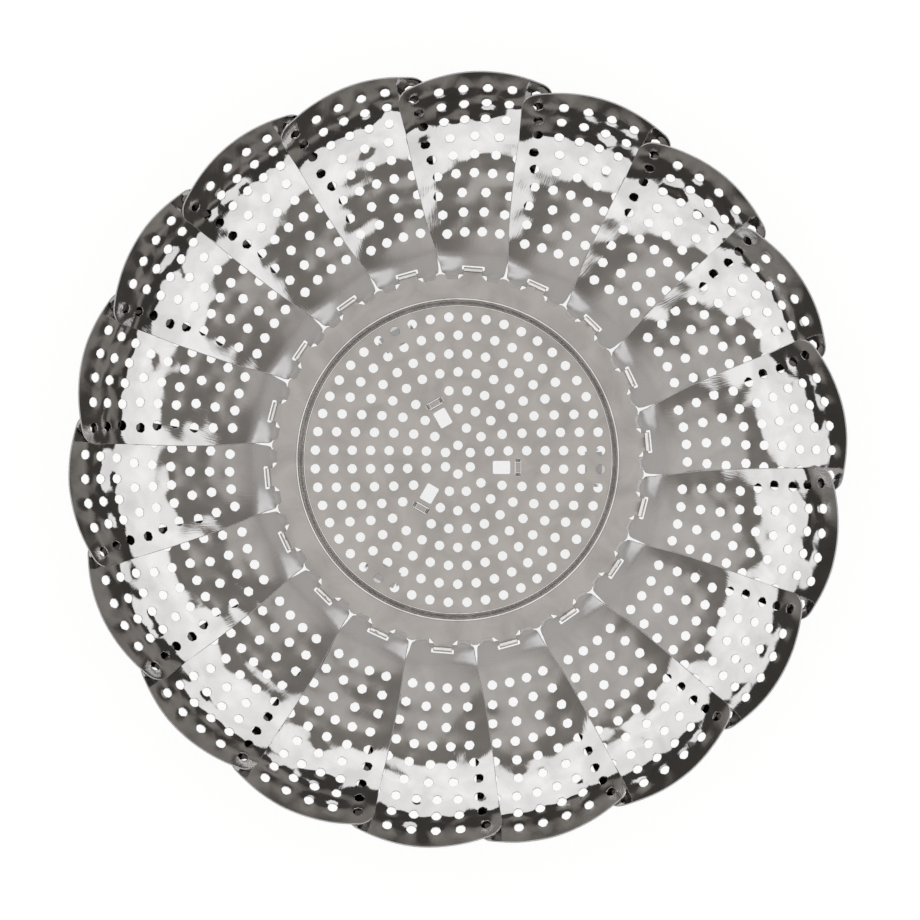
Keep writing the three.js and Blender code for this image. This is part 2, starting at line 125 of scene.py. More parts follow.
def inside_loop(points, loop):
    """Which points lie inside a closed loop."""
    inside = np.zeros(len(points), bool)
    for (x0, y0), (x1, y1) in zip(loop, np.roll(loop, -1, axis=0)):
        crosses = (y0 > points[:, 1]) != (y1 > points[:, 1])
        with np.errstate(divide="ignore", invalid="ignore"):
            at = x0 + (points[:, 1] - y0) / (y1 - y0) * (x1 - x0)
        inside ^= crosses & (points[:, 0] < at)
    return inside


# %% Cut a flat pattern into triangles
class Pattern:
    """A cut pattern: its points, its triangles, and the loops that are edges of the metal."""

    def __init__(self, outline, holes, fill, edge_width, hole_edge_width):
        self.loops = []
        coords, edges = [], []
        for i, loop in enumerate([outline, *holes]):
            width = edge_width if i == 0 else hole_edge_width
            outward = outward_normals(loop)
            first = len(coords)
            count = len(loop)
            coords.extend(loop - outward * width)
            edges.extend((first + j, first + (j + 1) % count) for j in range(count))
            self.loops.append((first, loop, outward))
        coords.extend(fill)
        coords = np.array(coords)
        found = delaunay_2d_cdt([Vector(p) for p in coords], edges, [], 0, 1e-7, True)
        source = [ids[0] for ids in found[3]]
        faces = np.array([[source[v] for v in face] for face in found[2]])
        middles = coords[faces].mean(axis=1)
        keep = inside_loop(middles, outline)
        for hole in holes:
            near = np.abs(middles - hole.mean(axis=0)).max(axis=1) < np.ptp(hole, axis=0).max()
            spots = np.nonzero(near & keep)[0]
            keep[spots[inside_loop(middles[spots], hole)]] = False
        self.coords = coords
        self.faces = faces[keep]


# %% Press a pattern into a sheet
PROBE = 0.04  # how far each way a point is moved on the pattern to find the slope there


def press(pattern, place, thickness, edge_drop):
    """Corners, normals, triangles and pattern places of a closed sheet. place(flat, height) gives a point."""
    flat = pattern.coords
    half = thickness / 2
    along = place(flat + (PROBE, 0), 0) - place(flat - (PROBE, 0), 0)
    across = place(flat + (0, PROBE), 0) - place(flat - (0, PROBE), 0)
    normal = unit_rows(np.cross(along, across))

    count = len(flat)
    corners = [place(flat, half), place(flat, -half)]
    normals = [normal, -normal]
    flats = [flat, flat]
    unpolished = [np.zeros(2 * count)]
    faces = [pattern.faces, pattern.faces[:, ::-1] + count]
    base = 2 * count
    for first, loop, outward in pattern.loops:
        size = len(loop)
        out = unit_rows(place(loop + outward * PROBE, 0) - place(loop - outward * PROBE, 0))
        corners += [place(loop, half - edge_drop), place(loop, edge_drop - half)]
        normals += [out, out]
        flats += [loop, loop]
        unpolished.append(np.ones(2 * size))
        ring = np.arange(size)
        following = np.roll(ring, -1)
        rows = [first + ring, base + ring, base + size + ring, count + first + ring]
        nexts = [first + following, base + following, base + size + following, count + first + following]
        for i in range(3):
            faces.append(np.column_stack([rows[i], rows[i + 1], nexts[i + 1]]))
            faces.append(np.column_stack([rows[i], nexts[i + 1], nexts[i]]))
        base += 2 * size
    flats = np.column_stack([np.vstack(flats), np.concatenate(unpolished)])
    return np.vstack(corners), np.vstack(normals), np.vstack(faces), flats


def join_sheets(parts):
    """Several pressed sheets as one set of arrays."""
    shifts = np.cumsum([0] + [len(part[0]) for part in parts])
    return (
        np.vstack([part[0] for part in parts]),
        np.vstack([part[1] for part in parts]),
        np.vstack([part[2] + shift for part, shift in zip(parts, shifts)]),
        np.vstack([part[3] for part in parts]),
    )


def make_piece(name, sheet, steel, number=0, painted_shade_depth=None):
    """A Blender object in metres from a pressed sheet, with what its finish needs kept in attributes."""
    corners, normals, faces, flats = sheet
    mesh = bpy.data.meshes.new(name)
    mesh.from_pydata((corners * MM).tolist(), [], faces.tolist())
    mesh.polygons.foreach_set("use_smooth", np.ones(len(faces), bool))
    mesh.normals_split_custom_set_from_vertices(normals.tolist())
    place = mesh.attributes.new("pattern_place", "FLOAT_VECTOR", "POINT")
    rows = np.column_stack([flats[:, :2] * MM, np.full(len(flats), number * 0.1)])
    place.data.foreach_set("vector", rows.astype(np.float32).ravel())
    unpolished = mesh.attributes.new("unpolished", "FLOAT", "POINT")
    unpolished.data.foreach_set("value", flats[:, 2].astype(np.float32))
    # How far each point lies under the next petal, which the finish uses to paint shade there.
    if painted_shade_depth is not None:
        painted_shade_mask = mesh.attributes.new("painted_shade_depth", "FLOAT", "POINT")
        painted_shade_mask.data.foreach_set("value", painted_shade_depth.astype(np.float32))
    mesh.materials.append(steel)
    piece = bpy.data.objects.new(name, mesh)
    bpy.context.scene.collection.objects.link(piece)
    return piece


# %% [markdown]
# ## The finish: polished stainless sheet
#
# The real metal is bright rolled stainless. It is nearly a mirror, with a fine grain along each blank,
# small dull patches from handling, and slightly darker places. A metal has no colour of its own under the
# polish, so the base colour stays a light neutral grey, and the roughness is low and uneven. The grain is
# a bump of stretched noise in the flat pattern's own coordinates, so that it follows each pressed sheet
# and turns with it. Two things are told apart by attributes of the mesh: what is left unpolished, such as the
# sheared edges and the foot of a petal, and the strip of a petal under its neighbour, where a painted shade
# makes the base colour nearly black, standing in for the shade in the gap between two petals.

# %% Steel material
UNPOLISHED_TONE = (0.58, 0.57, 0.57)
UNPOLISHED_ROUGHNESS = 0.3
# Painted shade: the strip of a petal under its neighbour gets this nearly black tone, standing in for the shade
# in the gap between two petals.
PAINTED_SHADE_TONE = (0.1, 0.088, 0.085)


def steel_finish(name, tone, roughness, grain, smudge):
    """Polished sheet: grain is the depth of the rolling grain in metres, smudge how uneven the polish is."""
    made = bpy.data.materials.new(name)
    made.use_nodes = True
    nodes, links = made.node_tree.nodes, made.node_tree.links
    shader = nodes["Principled BSDF"]
    shader.inputs["Metallic"].default_value = 1.0

    place = nodes.new("ShaderNodeAttribute")
    place.attribute_name = "pattern_place"

    def noise(scale, detail, stretch, distortion=0.0):
        mapping = nodes.new("ShaderNodeMapping")
        mapping.inputs["Scale"].default_value = stretch
        links.new(place.outputs["Vector"], mapping.inputs["Vector"])
        cloud = nodes.new("ShaderNodeTexNoise")
        cloud.inputs["Scale"].default_value = scale
        cloud.inputs["Detail"].default_value = detail
        cloud.inputs["Distortion"].default_value = distortion
        links.new(mapping.outputs["Vector"], cloud.inputs["Vector"])
        return cloud.outputs["Fac"]

    def spread(source, low, high, to_low, to_high):
        ramp = nodes.new("ShaderNodeMapRange")
        for socket, value in (("From Min", low), ("From Max", high), ("To Min", to_low), ("To Max", to_high)):
            ramp.inputs[socket].default_value = value
        links.new(source, ramp.inputs["Value"])
        return ramp.outputs["Result"]

    rolling = noise(260, 3, (1, 9, 1))  # fine grain, drawn out along the blank
    patches = noise(90, 4, (1, 1, 1), 0.6)  # darker places, about a centimetre wide
    clouds = noise(35, 3, (1, 1.6, 1), 1.2)  # wide areas where the polish is duller

    colour = nodes.new("ShaderNodeValToRGB")
    colour.color_ramp.elements[0].position = 0.3
    colour.color_ramp.elements[0].color = (*[v * (1 - 0.35 * smudge) for v in tone], 1)
    colour.color_ramp.elements[1].position = 0.62
    colour.color_ramp.elements[1].color = (*tone, 1)
    links.new(patches, colour.inputs["Fac"])

    def kept(name):
        stored = nodes.new("ShaderNodeAttribute")
        stored.attribute_name = name
        return stored.outputs["Fac"]

    def mixed(share, first, second):
        mix = nodes.new("ShaderNodeMix")
        mix.data_type = "RGBA"
        links.new(share, mix.inputs["Factor"])
        links.new(first, mix.inputs["A"])
        mix.inputs["B"].default_value = (*second, 1)
        return mix.outputs["Result"]

    unpolished = kept("unpolished")
    cut_edges = mixed(unpolished, colour.outputs["Color"], UNPOLISHED_TONE)
    # Painted shade: the strip under the next petal goes nearly black, for the shade in the gap between the
    # petals.
    painted_shade_mask = spread(kept("painted_shade_depth"), 0.1, 0.6, 0, 1)
    links.new(mixed(painted_shade_mask, cut_edges, PAINTED_SHADE_TONE), shader.inputs["Base Color"])

    polish = spread(clouds, 0.35, 0.75, roughness, roughness * (1 + smudge))
    dullness = nodes.new("ShaderNodeMath")
    dullness.operation = "MULTIPLY_ADD"
    links.new(unpolished, dullness.inputs[0])
    dullness.inputs[1].default_value = UNPOLISHED_ROUGHNESS
    links.new(polish, dullness.inputs[2])
    links.new(dullness.outputs["Value"], shader.inputs["Roughness"])

    bump = nodes.new("ShaderNodeBump")
    bump.inputs["Strength"].default_value = 1.0
    bump.inputs["Distance"].default_value = grain
    links.new(rolling, bump.inputs["Height"])
    links.new(bump.outputs["Normal"], shader.inputs["Normal"])
    return made


petal_steel = steel_finish("polished_petal_steel", (0.70, 0.688, 0.684), 0.045, 0.000011, 0.5)
plate_steel = steel_finish("polished_plate_steel", (0.69, 0.67, 0.65), 0.1, 0.00002, 0.6)
leg_steel = steel_finish("satin_leg_steel", (0.60, 0.60, 0.61), 0.24, 0.00006, 0.5)
print("finishes:", [m.name for m in (petal_steel, plate_steel, leg_steel)])

# %% [markdown]
# ## The petals
#
# Each petal is a long blank with rows of punched holes, pressed into a gentle slope near its foot and a
# steep one at its rim, hollow from side to side, and tilted a little, so that its anticlockwise edge lies
# over its neighbour. The sizes are the CAD petal's, but for a flatter rim, rounder corners and sides that
# bow a little more. The holes are finer here than in the CAD: nine rows, with six, five and four holes,
# closing up towards the foot like the real punching pattern.

# %% Petal sizes
PETALS = 18
HINGE_RADIUS = 60.2
HINGE_HEIGHT = 34.762
PETAL_SHEET = 0.5
INNER_LENGTH = 31
PETAL_LENGTH = 69
ARCS = ((31, 12.5, 15), (27, 15, 41), (11, 41, 43.5))  # length, and slopes at its ends in degrees
FOOT_HALF_WIDTH, WAIST_HALF_WIDTH, SHOULDER_HALF_WIDTH = 10, 18.2, 24.6
SHOULDER_LENGTH = 62
BELLY = 0.6  # how much more the sides bow than in the CAD
BELLY_RISE, BELLY_FALL = (5, 19), (30, 52)  # distances over which that bow grows and fades
RIM_RADIUS = 62
CORNER_RADIUS = 5
FOOT_TILT, RIM_TILT = np.radians([5.2, 4.6])
FOOT_BEND, RIM_BEND = 1 / 83, 1 / 71
TWIST_START, TWIST_END = 0.9, 5.8  # distances over which the foot passes into the tilted blade
TWIST_LEAD, TWIST_LEAD_SPAN = 1.8, (4.2, 7.5)  # how much nearer to the hinge that starts at the sides
HOLE_RADIUS = 1.55

# %% The curve of a petal
def eased(value, start, end):
    """From 0 at start to 1 at end, smoothly."""
    share = np.clip((value - start) / (end - start), 0, 1)
    return share * share * (3 - 2 * share)


def petal_section(distance):
    """How far out and up the middle line is at a distance from the hinge, and its slope."""
    run, rise, slope, start = 0, 0, math.radians(ARCS[0][1]), 0
    for i, (length, low, high) in enumerate(ARCS):
        low, high = math.radians(low), math.radians(high)
        part = np.clip(distance - start, -np.inf if i == 0 else 0, np.inf if i == len(ARCS) - 1 else length)
        turn = low + (high - low) / length * part
        run = run + (np.sin(turn) - math.sin(low)) * length / (high - low)
        rise = rise + (math.cos(low) - np.cos(turn)) * length / (high - low)
        slope = slope + turn - low
        start += length
    return run, rise, slope


def petal_point(distance, across, height, lean):
    """A point of the petal, with its hinge at the origin and the petal along +X, leaning sideways."""
    run, rise, slope = petal_section(distance)
    outward = np.clip((distance - TWIST_END) / (PETAL_LENGTH - TWIST_END), 0, 1)
    tilt = np.tan(FOOT_TILT + (RIM_TILT - FOOT_TILT) * outward)
    bend = FOOT_BEND + (RIM_BEND - FOOT_BEND) * outward
    start = TWIST_START - TWIST_LEAD * eased(np.abs(across), *TWIST_LEAD_SPAN)
    twist = eased(distance, start, TWIST_END)
    height = height + twist * (tilt * across + bend * across**2 / 2)
    x = run - height * np.sin(slope)
    z = rise + height * np.cos(slope)
    c, s = np.cos(lean * twist), np.sin(lean * twist)
    return np.column_stack([x * c - across * s, x * s + across * c, z])


def petal_half_width(distance):
    """Half the blank's width at a distance from the hinge."""
    share = distance / SHOULDER_LENGTH
    middle = INNER_LENGTH / SHOULDER_LENGTH
    chord = FOOT_HALF_WIDTH + (SHOULDER_HALF_WIDTH - FOOT_HALF_WIDTH) * middle
    bow = (WAIST_HALF_WIDTH - chord) / (middle * (1 - middle))
    belly = BELLY * eased(distance, *BELLY_RISE) * (1 - eased(distance, *BELLY_FALL))
    straight = FOOT_HALF_WIDTH + (SHOULDER_HALF_WIDTH - FOOT_HALF_WIDTH) * share
    return straight + bow * share * (1 - share) + belly


# %% [markdown]
# The foot of a petal is cut round its hinge. The hook of the plate rolls round a narrow bar at the very
# end, through a window, and a stop tongue stands beside the hook on each side. The tongues turn up from
# the foot, and their tips stay just under the plate's flange. The foot's own corners are rounded, so that
# two petals that fold side by side don't catch.

# %% Petal foot sizes
BAR_WIDTH = 1.6
WINDOW_HALF_WIDTH, WINDOW_END = 3.7, 2.2
TONGUE_OFFSET, TONGUE_WIDTH, TONGUE_LENGTH = 6.7, 4.2, 2.7
TONGUE_ROOT = -BAR_WIDTH / 2 - 0.2
FOOT_CORNER = 2.0
GAP = 0.3
PLATE_SHEET = 0.6
HOOK_INNER_RADIUS = math.hypot(BAR_WIDTH / 2, PETAL_SHEET / 2) + GAP
TONGUE_TIP_HEIGHT = HOOK_INNER_RADIUS - GAP - PETAL_SHEET / 2


def petal_place(flat, height, lean, dents=None):
    """Presses points of the flat pattern into the petal's shape, tongues included."""
    distance, across = flat[:, 0], flat[:, 1]
    if dents is not None:
        height = height + dents(distance, across)
    on_foot = np.maximum(distance, TONGUE_ROOT)
    place = petal_point(on_foot, across, height, lean)
    root = petal_point(np.array([TONGUE_ROOT]), np.zeros(1), 0, 0)[0]
    rise = math.asin((TONGUE_TIP_HEIGHT - root[2]) / TONGUE_LENGTH)
    reach = np.maximum(TONGUE_ROOT - distance, 0)
    on_tongue = np.column_stack([
        root[0] - reach * math.cos(rise) + height * math.sin(rise),
        across,
        root[2] + reach * math.sin(rise) + height * math.cos(rise),
    ])
    return np.where((distance < TONGUE_ROOT)[:, None], on_tongue, place)


# %% The petal's outline
def rim_corner():
    """The rounded corner: the middle of the circle that touches both the side and the rim."""
    places = np.linspace(FOOT_HALF_WIDTH, SHOULDER_LENGTH + 4, 800)
    side = np.column_stack([places, petal_half_width(places)])
    rim_middle = np.array([PETAL_LENGTH - RIM_RADIUS, 0])
    best = None  # the miss, the turn along the rim, the circle's middle, and where it touches the side
    for turn in np.linspace(0.2, 0.6, 400):
        middle = rim_middle + (RIM_RADIUS - CORNER_RADIUS) * np.array([math.cos(turn), math.sin(turn)])
        reach = np.linalg.norm(side - middle, axis=1)
        miss = abs(reach.min() - CORNER_RADIUS)
        if middle[1] < petal_half_width(middle[0]) and (best is None or miss < best[0]):
            best = (miss, turn, middle, side[reach.argmin()])
    return best[1:]


def petal_outline():
    """The blank's edge, anticlockwise: right side, rim, left side, foot and tongues."""
    rim_turn, corner, side_end = rim_corner()
    side_turn = math.atan2(side_end[1] - corner[1], side_end[0] - corner[0])
    side = [(s, petal_half_width(s)) for s in np.arange(FOOT_CORNER, side_end[0] - 0.5, 1.3)]
    turns = np.linspace(side_turn, rim_turn, 10)
    arc = [(corner[0] + CORNER_RADIUS * math.cos(a), corner[1] + CORNER_RADIUS * math.sin(a)) for a in turns]
    rim_turns = np.linspace(rim_turn, 0, 17)[1:]
    rim = [(PETAL_LENGTH - RIM_RADIUS * (1 - math.cos(a)), RIM_RADIUS * math.sin(a)) for a in rim_turns]
    left = side + arc + rim
    right = [(s, -t) for s, t in left[:-1]]
    edge = -BAR_WIDTH / 2
    inner, outer = TONGUE_OFFSET - TONGUE_WIDTH / 2, TONGUE_OFFSET + TONGUE_WIDTH / 2
    tip = TONGUE_ROOT - TONGUE_LENGTH
    foot = [(edge, inner - 0.5), (TONGUE_ROOT, inner), (tip, inner), (tip, outer), (TONGUE_ROOT, outer)]
    foot += [(edge, FOOT_HALF_WIDTH), (FOOT_CORNER + 1, petal_half_width(FOOT_CORNER + 1))]
    foot = round_corners(foot, [1.0] * 5 + [FOOT_CORNER, 1.0], 4)[3:-5]
    low = [(s, -t) for s, t in foot]
    return np.array(right + left[::-1] + foot[::-1].tolist() + low)


outline = petal_outline()
print("petal outline:", len(outline), "points")

# %% [markdown]
# The rows of holes are gentle arcs. Counted from the rim, each group of three rows has one hole less, and
# inside a group the holes move closer together row by row.

# %% The petal's holes
ROWS = 9
FIRST_ROW, ROW_PITCH, ROW_SPREAD = 62.5, 5.78, 0.045
FIRST_PITCHES = (7.72, 7.85, 7.6)  # spacing in the first row of each group
PITCH_STEPS = (0.58, 1.0, 1.0)  # how much it shrinks from row to row
ROW_BULGES = (100, 60, 50)  # radius of the rows' arcs


def petal_holes():
    """Middle of each hole, as distance and across."""
    middles = []
    for row in range(ROWS):
        group, step = divmod(row, 3)
        count = 6 - group
        pitch = FIRST_PITCHES[group] - PITCH_STEPS[group] * step
        bulge = ROW_BULGES[group]
        middle = FIRST_ROW - ROW_PITCH * row - ROW_SPREAD * row**2
        for i in range(count):
            across = (i - (count - 1) / 2) * pitch
            middles.append((middle - bulge + math.sqrt(bulge**2 - across**2), across))
    return np.array(middles)


HOLES = petal_holes()
print("holes in a petal:", len(HOLES), "and in all petals:", len(HOLES) * PETALS)

# %% Points round the holes and between them
def ring_points(middles, rings, inside, clearance):
    """Rings of points round each hole, kept where they lie in the metal and clear of other holes."""
    points = []
    for radius, count in rings:
        for i, (x, y) in enumerate(middles):
            points.append(circle_loop(x, y, radius, count, start=radius))
    points = np.vstack(points)
    reach = np.linalg.norm(points[:, None] - middles[None], axis=2).min(axis=1)
    return points[(reach > clearance) & inside(points)]


def fill_points(low, high, pitch, middles, inside, clearance):
    """A triangular grid of points over the rest of the metal."""
    rows = np.arange(low[0], high[0], pitch * math.sqrt(3) / 2)
    columns = np.arange(low[1], high[1], pitch)
    grid = np.array([(x, y + (i % 2) * pitch / 2) for i, x in enumerate(rows) for y in columns])
    reach = np.linalg.norm(grid[:, None] - middles[None], axis=2).min(axis=1)
    return grid[(reach > clearance) & inside(grid)]


def clear_of_edge(loop, margin):
    """A test for points that lie inside a loop and away from it."""

    def test(points):
        reach = np.linalg.norm(points[:, None] - loop[None], axis=2).min(axis=1)
        return inside_loop(points, loop) & (reach > margin)

    return test


# %% The petal's pattern
HOLE_SIDES = 18
PETAL_EDGE, PETAL_HOLE_EDGE, PETAL_EDGE_DROP = 0.25, 0.15, 0.12  # chamfers left by the press, and their depth
low, high, half = BAR_WIDTH / 2, WINDOW_END, WINDOW_HALF_WIDTH
window = round_corners([(low, -half), (low, half), (high, half), (high, -half)], 0.4, 3)
petal_metal = clear_of_edge(outline, 0.8)
off_window = clear_of_edge(window * (1.3, 1.1), 0.0)


def petal_inside(points):
    return petal_metal(points) & ~off_window(points)


hole_rings = [(HOLE_RADIUS + 0.55, 14), (HOLE_RADIUS + 1.15, 12)]  # radius and number of points
rings = ring_points(HOLES, hole_rings, petal_inside, HOLE_RADIUS + 0.5)
fill = fill_points((-4, -25), (69, 25), 2.3, HOLES, petal_inside, HOLE_RADIUS + 1.9)
punched = [circle_loop(x, y, HOLE_RADIUS, HOLE_SIDES) for x, y in HOLES]
petal_pattern = Pattern(outline, [window, *punched], np.vstack([rings, fill]), PETAL_EDGE, PETAL_HOLE_EDGE)
print("petal pattern:", len(petal_pattern.coords), "points,", len(petal_pattern.faces), "triangles a side")

# %% [markdown]
# Pressed sheet is never perfect. Each punched hole drags the metal round it down a little, and the whole
# sheet is slightly rumpled, in another way on each petal. These dents are a tenth or two of a millimetre
# deep, and deepest near the rim. A mirror doubles every slope, so they give the reflections their ragged
# edges. The covered side of a petal is set down a little, so that no rumple touches the petal above it.

# %% Dents and rumples
HOLE_DENT, DENT_REACH = 0.075, 2.3
RUMPLE, RUMPLE_LENGTHS = 0.03, (7, 8, 9, 11, 13, 15, 18, 22, 27, 33)
SWAY, SWAY_LENGTHS = 0.11, (38, 55)
DENT_GROWTH, DENT_GROWTH_SPAN = 1.2, (36, 54)  # by how much the dents deepen towards the rim, and where
WAVE_GROWTH, WAVE_GROWTH_SPAN = 0.5, (36, 50)
WAVE_CALM, WAVE_CALM_SPAN = 0.9, (54, 64)  # the rim itself is stiff, and stays even
COVERED_DROP = 0.3


def petal_dents(number):
    """Height of the metal above the pressed shape, for one petal."""
    random = np.random.default_rng(100 + number)
    depths = HOLE_DENT * random.uniform(0.5, 1.4, len(HOLES))
    waves = []
    for length in RUMPLE_LENGTHS:
        turn = random.uniform(0, 2 * np.pi)
        waves.append((2 * np.pi / length, turn, random.uniform(0, 2 * np.pi), RUMPLE * (length / 15) ** 0.8))
    for length in SWAY_LENGTHS:
        waves.append((2 * np.pi / length, random.uniform(-0.4, 0.4), random.uniform(0, 2 * np.pi), SWAY))

    def height(distance, across):
        total = np.zeros(len(distance))
        for (x, y), depth in zip(HOLES, depths):
            total -= depth * np.exp(-((distance - x) ** 2 + (across - y) ** 2) / DENT_REACH**2)
        total *= 1 + DENT_GROWTH * eased(distance, *DENT_GROWTH_SPAN)
        swell = 1 + WAVE_GROWTH * eased(distance, *WAVE_GROWTH_SPAN)
        swell -= WAVE_CALM * eased(distance, *WAVE_CALM_SPAN)
        for pace, turn, phase, size in waves:
            wave = size * np.sin(pace * (distance * math.cos(turn) + across * math.sin(turn)) + phase)
            total += wave * swell
        total -= COVERED_DROP * eased(-across / petal_half_width(distance), 0.7, 1)
        return total * eased(distance, TWIST_END, 3 * TWIST_END)

    return height


# %% [markdown]
# The petals hang loosely in their hooks, so each settles a little to one side. The middle of that lean is
# the CAD petal's. Round the ring it swings from one side to the other, as slack gathers in one place.

# %% Make the petals
PETAL_PITCH = 360 / PETALS  # degrees, like the leans
LEAN, LEAN_SWING, MOST_LEAN_AT = 1.2, 3.2, 35  # the last one counts clockwise from petal 01
FOOT_DULLNESS, FOOT_DULL_SPAN = 0.9, (4, 9)  # the polishing wheel doesn't reach the foot


def petal_lean(number):
    """How far a petal leans, in radians."""
    turn = math.radians(PETAL_PITCH * (number - 1) - MOST_LEAN_AT)
    return math.radians(LEAN + LEAN_SWING * math.cos(turn))


def turned_and_placed(sheet, angle, offset):
    """A sheet moved from its own frame to its seat, turned about the basket's axis."""
    corners, normals, faces, flats = sheet
    c, s = math.cos(angle), math.sin(angle)
    turn = np.array([[c, s, 0], [-s, c, 0], [0, 0, 1]])
    return (corners + offset) @ turn, normals @ turn, faces, flats


def depth_under_neighbour(corners, lean):
    """How far each point lies inside the outline of the next petal going clockwise, seen from above."""
    edge = petal_place(outline[outline[:, 0] > 2], 0, lean) + (HINGE_RADIUS, 0, 0)
    edge = turned(edge[:, :2], math.radians(-PETAL_PITCH))
    close = np.vstack([edge + share * (np.roll(edge, -1, axis=0) - edge) for share in (0, 0.25, 0.5, 0.75)])
    points = corners[:, :2] + (HINGE_RADIUS, 0)
    reach = np.linalg.norm(points[:, None] - close[None], axis=2).min(axis=1)
    return np.where(inside_loop(points, edge), reach, -reach)


for number in range(1, PETALS + 1):
    dents = petal_dents(number)
    lean = petal_lean(number)
    place = partial(petal_place, lean=lean, dents=dents)
    sheet = press(petal_pattern, place, PETAL_SHEET, PETAL_EDGE_DROP)
    unpolished = FOOT_DULLNESS * (1 - eased(sheet[3][:, 0], *FOOT_DULL_SPAN))
    sheet[3][:, 2] = np.maximum(sheet[3][:, 2], unpolished)
    # How far each point lies under the next petal. The finish paints shade there.
    painted_shade_depth = depth_under_neighbour(sheet[0], petal_lean(number + 1))
    painted_shade_depth[len(petal_pattern.coords) : 2 * len(petal_pattern.coords)] = -1  # the underside
    angle = math.radians(90 - PETAL_PITCH * (number - 1))
    sheet = turned_and_placed(sheet, angle, (HINGE_RADIUS, 0, HINGE_HEIGHT))
    petal = make_piece(f"petal_{number:02d}_sheet", sheet, petal_steel, number, painted_shade_depth)
    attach(petal, f"petal_{number:02d}")
    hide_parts(f"petal_{number:02d}")
print("petals:", PETALS, "of", len(sheet[2]), "triangles")

# %% [markdown]
# ## The base plate
#
# The plate is one disc of sheet with a sunken floor, a short steep wall and a flange. A hook tab runs out
# of the flange for each petal and is rolled down round that petal's hinge bar. It is made the same way as
# the petals: the pattern is a disc with eighteen straight tabs, and pressing rolls the tabs. The press
# leaves a small flat on the outer side of each roll, and that flat catches the light from above. Between
# two hooks the flange ends in a short tooth, which reaches in between the feet of two petals.

# %% Plate sizes
FLOOR_RADIUS, WALL_RUN, WALL_RISE = 49.4, 2.4, 2.4
FLOOR_MIDDLE = 33.5 + PLATE_SHEET / 2
FLANGE_RADIUS = HINGE_RADIUS - 2.3
HOOK_HALF_WIDTH, HOOK_ROOT_HALF_WIDTH = 3, 4.3
HOOK_TURN = math.radians(235)
HOOK_SLOPE = math.radians(24)  # of the flat that the press leaves on the roll's outer side
HOOK_MIDDLE_RADIUS = HOOK_INNER_RADIUS + PLATE_SHEET / 2
LEGS = 3
LEG_TURN = math.radians(4.5)
LEG_LINE_OFFSET = 2.47
WINDOW_MIDDLE, PLATE_WINDOW_LENGTH, PLATE_WINDOW_WIDTH = 14, 5.6, 4.2
LOOP_MIDDLE, LOOP_SPAN, LOOP_WIDTH, LOOP_RISE = 19.3, 6.2, 1.7, 1.5
# One side of a tooth: how far from the basket's axis, and how far across
TOOTH = ((58, -4), (58, -2.8), (58.3, -2), (59, -1.6), (59.5, -1.1), (59.7, -0.4))
PLATE_EDGE, PLATE_EDGE_DROP = 0.16, 0.15
PLATE_RUMPLE, PLATE_RUMPLE_LENGTHS, PLATE_DENT = 0.012, (9, 12, 15, 19, 24, 31), 0.04


def plate_dents(x, y, holes):
    """The plate's floor is a little wavy, and each hole sits in a faint dimple."""
    random = np.random.default_rng(7)
    total = np.zeros(len(x))
    for length in PLATE_RUMPLE_LENGTHS:
        turn, phase = random.uniform(0, 2 * np.pi, 2)
        pace = 2 * np.pi / length
        total += PLATE_RUMPLE * length / 15 * np.sin(pace * (x * math.cos(turn) + y * math.sin(turn)) + phase)
    for hole_x, hole_y in holes:
        near = (np.abs(x - hole_x) < 5) & (np.abs(y - hole_y) < 5)
        reach = (x[near] - hole_x) ** 2 + (y[near] - hole_y) ** 2
        total[near] -= PLATE_DENT * np.exp(-reach / DENT_REACH**2)
    return total * (1 - eased(np.hypot(x, y), FLOOR_RADIUS - 3, FLOOR_RADIUS))


def plate_place(flat, height, holes=()):
    """Presses points of the plate's pattern: floor, wall, flange and rolled hooks."""
    x, y = flat[:, 0], flat[:, 1]
    radius = np.hypot(x, y)
    wall = FLOOR_RADIUS - 0.2, FLOOR_RADIUS + WALL_RUN + 0.3
    rise = WALL_RISE * eased(radius, *wall)
    step = 0.05
    ahead = WALL_RISE * eased(radius + step, *wall)
    slope = np.arctan2(ahead - rise, step)
    inward = height * np.sin(slope) / np.maximum(radius, 1e-6)
    z = FLOOR_MIDDLE + rise + height * np.cos(slope) + plate_dents(x, y, holes)
    place = np.column_stack([x - x * inward, y - y * inward, z])
    pitch = 2 * np.pi / PETALS
    turn = np.pi / 2 + np.round((np.arctan2(y, x) - np.pi / 2) / pitch) * pitch
    along = x * np.cos(turn) + y * np.sin(turn)
    across = y * np.cos(turn) - x * np.sin(turn)
    roll = (along - HINGE_RADIUS) / HOOK_MIDDLE_RADIUS
    flat_top = 1 / np.cos(np.clip(roll - HOOK_SLOPE, -HOOK_SLOPE, HOOK_SLOPE)) - 1
    flat_top *= 1 - eased(roll, 2 * HOOK_SLOPE, 4 * HOOK_SLOPE)
    reach = HOOK_MIDDLE_RADIUS * (1 + flat_top) + height
    on_tab = np.abs(across) < HOOK_ROOT_HALF_WIDTH + 0.5
    lift = HOOK_MIDDLE_RADIUS * (1 / math.cos(HOOK_SLOPE) - 1)  # of the tab's root, up to where the flat begins
    place[:, 2] += lift * eased(along, FLANGE_RADIUS + 0.5, HINGE_RADIUS) * on_tab
    out = HINGE_RADIUS + reach * np.sin(roll)
    hook = np.column_stack([
        out * np.cos(turn) - across * np.sin(turn),
        out * np.sin(turn) + across * np.cos(turn),
        HINGE_HEIGHT + reach * np.cos(roll),
    ])
    return np.where((along > HINGE_RADIUS)[:, None], hook, place)


